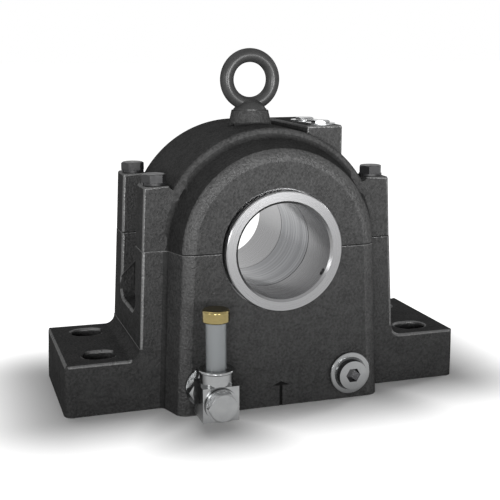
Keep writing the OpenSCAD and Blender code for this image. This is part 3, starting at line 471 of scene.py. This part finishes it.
def bevelWithCare(piece, title, hollows, slotIndex):
    # rounds the edges again without those that came out folded, until none does
    start = piece.data.copy()
    low = [min(vertex.co[i] for vertex in start.vertices) for i in range(3)]
    high = [max(vertex.co[i] for vertex in start.vertices) for i in range(3)]
    left = []
    for attempt in range(folded["attempts"]):
        count = bevelEdges(piece, title, hollows, slotIndex, left)
        mergeFlatFaces()
        places = foldedPlaces(piece, low, high)
        print("rounding", title, "edges:", count, "folded places:", len(places))
        if not places:
            break
        if attempt < folded["attempts"] - 1:
            care = folded["careMm"] / 1000 * (1 + attempt)
            left += [(place, care, folded["longestLeft"][attempt]) for place in places]
            spoilt = piece.data
            piece.data = start.copy()
            bpy.data.meshes.remove(spoilt)
    bpy.data.meshes.remove(start)
    return count


def bevelEdges(piece, title, hollows, slotIndex, left):
    mesh = piece.data
    if "bevel_weight_edge" in mesh.attributes:
        mesh.attributes.remove(mesh.attributes["bevel_weight_edge"])
    weights = mesh.attributes.new("bevel_weight_edge", "FLOAT", "EDGE")
    folds = edgeFolds(mesh)
    beside = {}
    for face in mesh.polygons:
        for key in face.edge_keys:
            beside.setdefault(key, []).append(face)
    sharp = [edge for edge in mesh.edges
             if folds.get(edge.key, (0, False))[0] >= math.radians(castings["sharpest"])]
    ends = {edge.index: [mesh.vertices[i].co for i in edge.vertices] for edge in sharp}
    samples = []
    for edge in sharp:
        first, last = ends[edge.index]
        steps = max(1, int((last - first).length / room["pointStep"]))
        samples += [(first.lerp(last, (k + 0.5) / steps), edge.index) for k in range(steps)]
    tree = KDTree(len(samples))
    for number, sample in enumerate(samples):
        tree.insert(sample[0], number)
    tree.balance()
    widest = castings["filletMm"] if hollows else castings["edgeMm"]
    count = 0
    for edge in sharp:
        hollow = folds[edge.key][1]
        if hollow != hollows:
            continue
        first, last = ends[edge.index]
        middle, along = (first + last) / 2, (last - first).normalized()
        length = max((last - first).length, room["least"])
        if any(length < longest and passesNear(first, last, place, care)
               for place, care, longest in left):
            continue
        free = min(stripWidth(face, length) * 2 for face in beside[edge.key])
        for point, number, distance in tree.find_range(middle, widest * room["searchTimes"] / 1000):
            if samples[number][1] != edge.index and distance > room["least"]:
                if abs((point - middle).normalized().dot(along)) < room["ownRun"]:
                    free = min(free, distance)
        radius = min(wantedRounding(middle, hollow), free * 1000 * room["share"])
        if radius > castings["leastMm"]:
            weights.data[edge.index].value = radius / widest
            count += 1
    bevel = piece.modifiers.new(title, "BEVEL")
    bevel.limit_method = "WEIGHT"
    bevel.width = widest / 1000
    bevel.segments = castings["segments"]
    bevel.use_clamp_overlap = False
    bevel.loop_slide = True
    bevel.miter_outer = "MITER_SHARP"
    bevel.material = slotIndex
    bpy.ops.object.modifier_apply(modifier=bevel.name)
    return count


def paintFaces(mesh):
    # painted light on the castings: shade over the joint's seam, a highlight on the seal bosses' crowns,
    # shade on their walls, and shade and highlight on the centre mark
    for face in mesh.polygons:
        across, outward, rise = abs(face.center.x), abs(face.center.y), face.center.z
        fromJoint = rise - shaftHeight
        fromShaft = math.hypot(face.center.x, fromJoint)
        steep = math.degrees(math.acos(min(1.0, abs(face.normal.y))))
        # edge faces just over the joint take the seam's painted shade
        if face.material_index == slots["edge"] and 0 < fromJoint < castings["partingMm"] / 1000:
            face.material_index = slots["seamShade"]
        # the crowns of the seal bosses take a painted highlight
        elif face.material_index == slots["skin"] and outward > bossRoot["browY"]:
            if crown["flattest"] < steep < crown["steepest"]:
                face.material_index = slots["crown"]
        # the walls of the seal bosses take the painted shade of the hollows
        overFace = bossRoot["faceY"] + nearPlane < outward < bossRoot["browY"] - bossRoot["browWithin"]
        onWall = overFace and fromJoint > 0 and bossRoot["wallFrom"] < fromShaft < bossRoot["wallTo"]
        if face.material_index == slots["skin"] and onWall:
            face.material_index = slots["hollow"]
        # the centre mark: painted shade in its groove, a painted highlight on its arrow head
        sunk = centreMark["front"] < face.center.y < centreMark["floor"]
        if sunk and across < centreMark["halfWidth"] and nearPlane < rise < centreMark["top"]:
            inGroove = across < centreMark["grooveHalf"]
            face.material_index = slots["seamShade"] if inGroove else slots["edge"]


def roundEdges(piece):
    for paint in (edgeHighlightPaint, paintedSeamShade, crownHighlightPaint, hollowShadePaint):
        piece.data.materials.append(paint)
    # the fillets of inner corners take the darker paint: painted shade
    count = bevelWithCare(piece, "filletedHollows", True, slots["hollow"])
    # the rounded edges take the paler paint: a painted highlight
    count += bevelWithCare(piece, "roundedEdges", False, slots["edge"])
    paintFaces(piece.data)
    bpy.ops.object.shade_smooth_by_angle(angle=math.radians(castings["smoothDegrees"]))
    weighted = piece.modifiers.new("flatFacesStayFlat", "WEIGHTED_NORMAL")
    weighted.keep_sharp = True
    bpy.ops.object.modifier_apply(modifier=weighted.name)
    return count


for name, title in (("housing_base", "castBase"), ("housing_cap", "castCap")):
    piece = copyOfNode(name, title)
    print("boss root points moved:", spreadBossRoots(piece))
    rounded = roundEdges(piece)
    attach(piece, "housing")
    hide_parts(name)
    print("casting", title, "edges rounded:", rounded, "faces:", len(piece.data.polygons))


# stage: a pale floor that keeps the shadow, with a painted shadow round the block where its glow fades,
# under a white surround

studio = {"fillLevel": 0.15, "floorReach": 30.0, "floorColour": "#f4f4f4", "paintedShadowGlow": 0.02,
          "farGlow": 0.92, "paintedShadowReach": 0.11}
# where the block, its seal bosses and its gauge stand over the floor, for the painted shadow round
# them: middle, half size and the distance at which the glow starts under them, metres
shadowFootprints = [((0, 0, 0), (0.175, 0.058, 0), 0.0), ((0, 0, 0), (0.088, 0.078, 0), 0.0),
              ((-0.066, -0.108, 0), (0.008, 0.012, 0), 0.012)]


def lightForCamera(tree):
    rays = addNode(tree, "ShaderNodeLightPath")
    first = addNode(tree, "ShaderNodeMath", {"operation": "MAXIMUM"}, None,
                    {0: rays.outputs["Is Camera Ray"], 1: rays.outputs["Is Glossy Ray"]})
    return addNode(tree, "ShaderNodeMath", {"operation": "MAXIMUM"}, None,
                   {0: first.outputs[0], 1: rays.outputs["Is Transmission Ray"]})


def makeStage():
    bpy.ops.mesh.primitive_plane_add(size=studio["floorReach"], location=(0, 0, 0))
    floor = bpy.context.active_object
    floor.name = "studioFloor"
    material, tree = newMaterial("paleFloor")
    seen = lightForCamera(tree)
    paper = addNode(tree, "ShaderNodeBsdfDiffuse", None, {"Color": hexColour(studio["floorColour"])})
    glow = addNode(tree, "ShaderNodeEmission", None, {"Color": (1, 1, 1, 1)})
    place = addNode(tree, "ShaderNodeTexCoord")
    nearest = None
    for middle, half, start in shadowFootprints:
        moved = addNode(tree, "ShaderNodeVectorMath", {"operation": "SUBTRACT"}, {1: middle},
                        {0: place.outputs["Object"]})
        folded = addNode(tree, "ShaderNodeVectorMath", {"operation": "ABSOLUTE"}, None,
                         {0: moved.outputs[0]})
        outside = addNode(tree, "ShaderNodeVectorMath", {"operation": "SUBTRACT"}, {1: half},
                          {0: folded.outputs[0]})
        beyond = addNode(tree, "ShaderNodeVectorMath", {"operation": "MAXIMUM"}, {1: (0, 0, 0)},
                         {0: outside.outputs[0]})
        length = addNode(tree, "ShaderNodeVectorMath", {"operation": "LENGTH"}, None,
                         {0: beyond.outputs[0]})
        away = addNode(tree, "ShaderNodeMath", {"operation": "ADD"}, {1: start},
                       {0: length.outputs["Value"]})
        if nearest:
            nearest = addNode(tree, "ShaderNodeMath", {"operation": "MINIMUM"}, None,
                              {0: nearest, 1: away.outputs[0]}).outputs[0]
        else:
            nearest = away.outputs[0]
    # the camera's glow fades out near the footprints: a painted shadow round the block and under the
    # gauge
    glowing = addNode(tree, "ShaderNodeMapRange", {"interpolation_type": "SMOOTHSTEP"},
                      {"From Min": 0.0, "From Max": studio["paintedShadowReach"],
                       "To Min": studio["paintedShadowGlow"], "To Max": studio["farGlow"]},
                      {"Value": nearest})
    level = addNode(tree, "ShaderNodeMath", {"operation": "MULTIPLY"}, None,
                    {0: seen.outputs[0], 1: glowing.outputs[0]})
    tree.links.new(level.outputs[0], glow.inputs["Strength"])
    both = addNode(tree, "ShaderNodeAddShader", None, None, {0: paper.outputs[0], 1: glow.outputs[0]})
    closeMaterial(tree, both)
    floor.data.materials.append(material)

    world = bpy.data.worlds.new("studioSurround")
    bpy.context.scene.world = world
    world.use_nodes = True
    tree = world.node_tree
    tree.nodes.clear()
    seen = lightForCamera(tree)
    level = addNode(tree, "ShaderNodeMapRange", None, {"To Min": studio["fillLevel"], "To Max": 1.0},
                    {"Value": seen.outputs[0]})
    sky = addNode(tree, "ShaderNodeBackground", None, {"Color": (1, 1, 1, 1)},
                  {"Strength": level.outputs[0]})
    addNode(tree, "ShaderNodeOutputWorld", links={"Surface": sky.outputs[0]})


# the front spot is aimed over the cap, so its soft lower edge fades down the front of the base
# and a second spot from the front left reaches the rear column
spots = {
    "frontSpot": {"place": (0.2, -1.25, 0.3), "aim": (0.08, 0, 0.36), "coneDegrees": 36, "size": 0.16,
                  "watts": 62},
    "leftSpot": {"place": (-0.5, -1.2, 0.32), "aim": (0, 0, 0.33), "coneDegrees": 38, "size": 0.16,
                 "watts": 50},
}
# three soft boxes keep the tops, the sides and the back readable
boxAim = (0, 0, 0.13)
boxes = {
    "overheadBox": {"place": (-0.3, 0.7, 1.5), "size": 1.0, "watts": 4},
    "leftBox": {"place": (-1.35, -0.62, 0.45), "size": 0.3, "watts": 3},
    "rightBox": {"place": (1.35, 0.35, 0.75), "size": 0.3, "watts": 3},
}


def placeLamp(name, light, place, aim):
    lamp = bpy.data.objects.new(name, light)
    bpy.context.scene.collection.objects.link(lamp)
    lamp.location = place
    lamp.rotation_euler = (Vector(aim) - Vector(place)).to_track_quat("-Z", "Y").to_euler()


def addSpot(name, looks):
    light = bpy.data.lights.new(name, "SPOT")
    light.energy = looks["watts"]
    light.spot_size = math.radians(looks["coneDegrees"])
    light.spot_blend = 1.0
    light.shadow_soft_size = looks["size"]
    placeLamp(name, light, looks["place"], looks["aim"])


def addBox(name, looks):
    light = bpy.data.lights.new(name, "AREA")
    light.shape = "SQUARE"
    light.size = looks["size"]
    light.energy = looks["watts"]
    placeLamp(name, light, looks["place"], boxAim)


# camera: fitted to the housing's corners and bore, in the frame's metres and degrees
eye = {"place": (-0.26705, -0.82103, 0.2999), "yaw": 18.03, "pitch": 11.9, "focalPixels": 973.22,
       "widthPixels": 500, "sensorMm": 36, "nearest": 0.01}


def addCamera():
    data = bpy.data.cameras.new("photoCamera")
    data.sensor_width = eye["sensorMm"]
    data.lens = eye["focalPixels"] / eye["widthPixels"] * data.sensor_width
    data.clip_start = eye["nearest"]
    camera = bpy.data.objects.new("photoCamera", data)
    bpy.context.scene.collection.objects.link(camera)
    camera.location = eye["place"]
    camera.rotation_euler = (math.radians(90 - eye["pitch"]), 0, math.radians(-eye["yaw"]))
    bpy.context.scene.camera = camera


makeStage()
for spotName, spotLooks in spots.items():
    addSpot(spotName, spotLooks)
for boxName, boxLooks in boxes.items():
    addBox(boxName, boxLooks)
addCamera()
bpy.context.scene.view_settings.view_transform = "Standard"
print("stage, lamps and camera made")
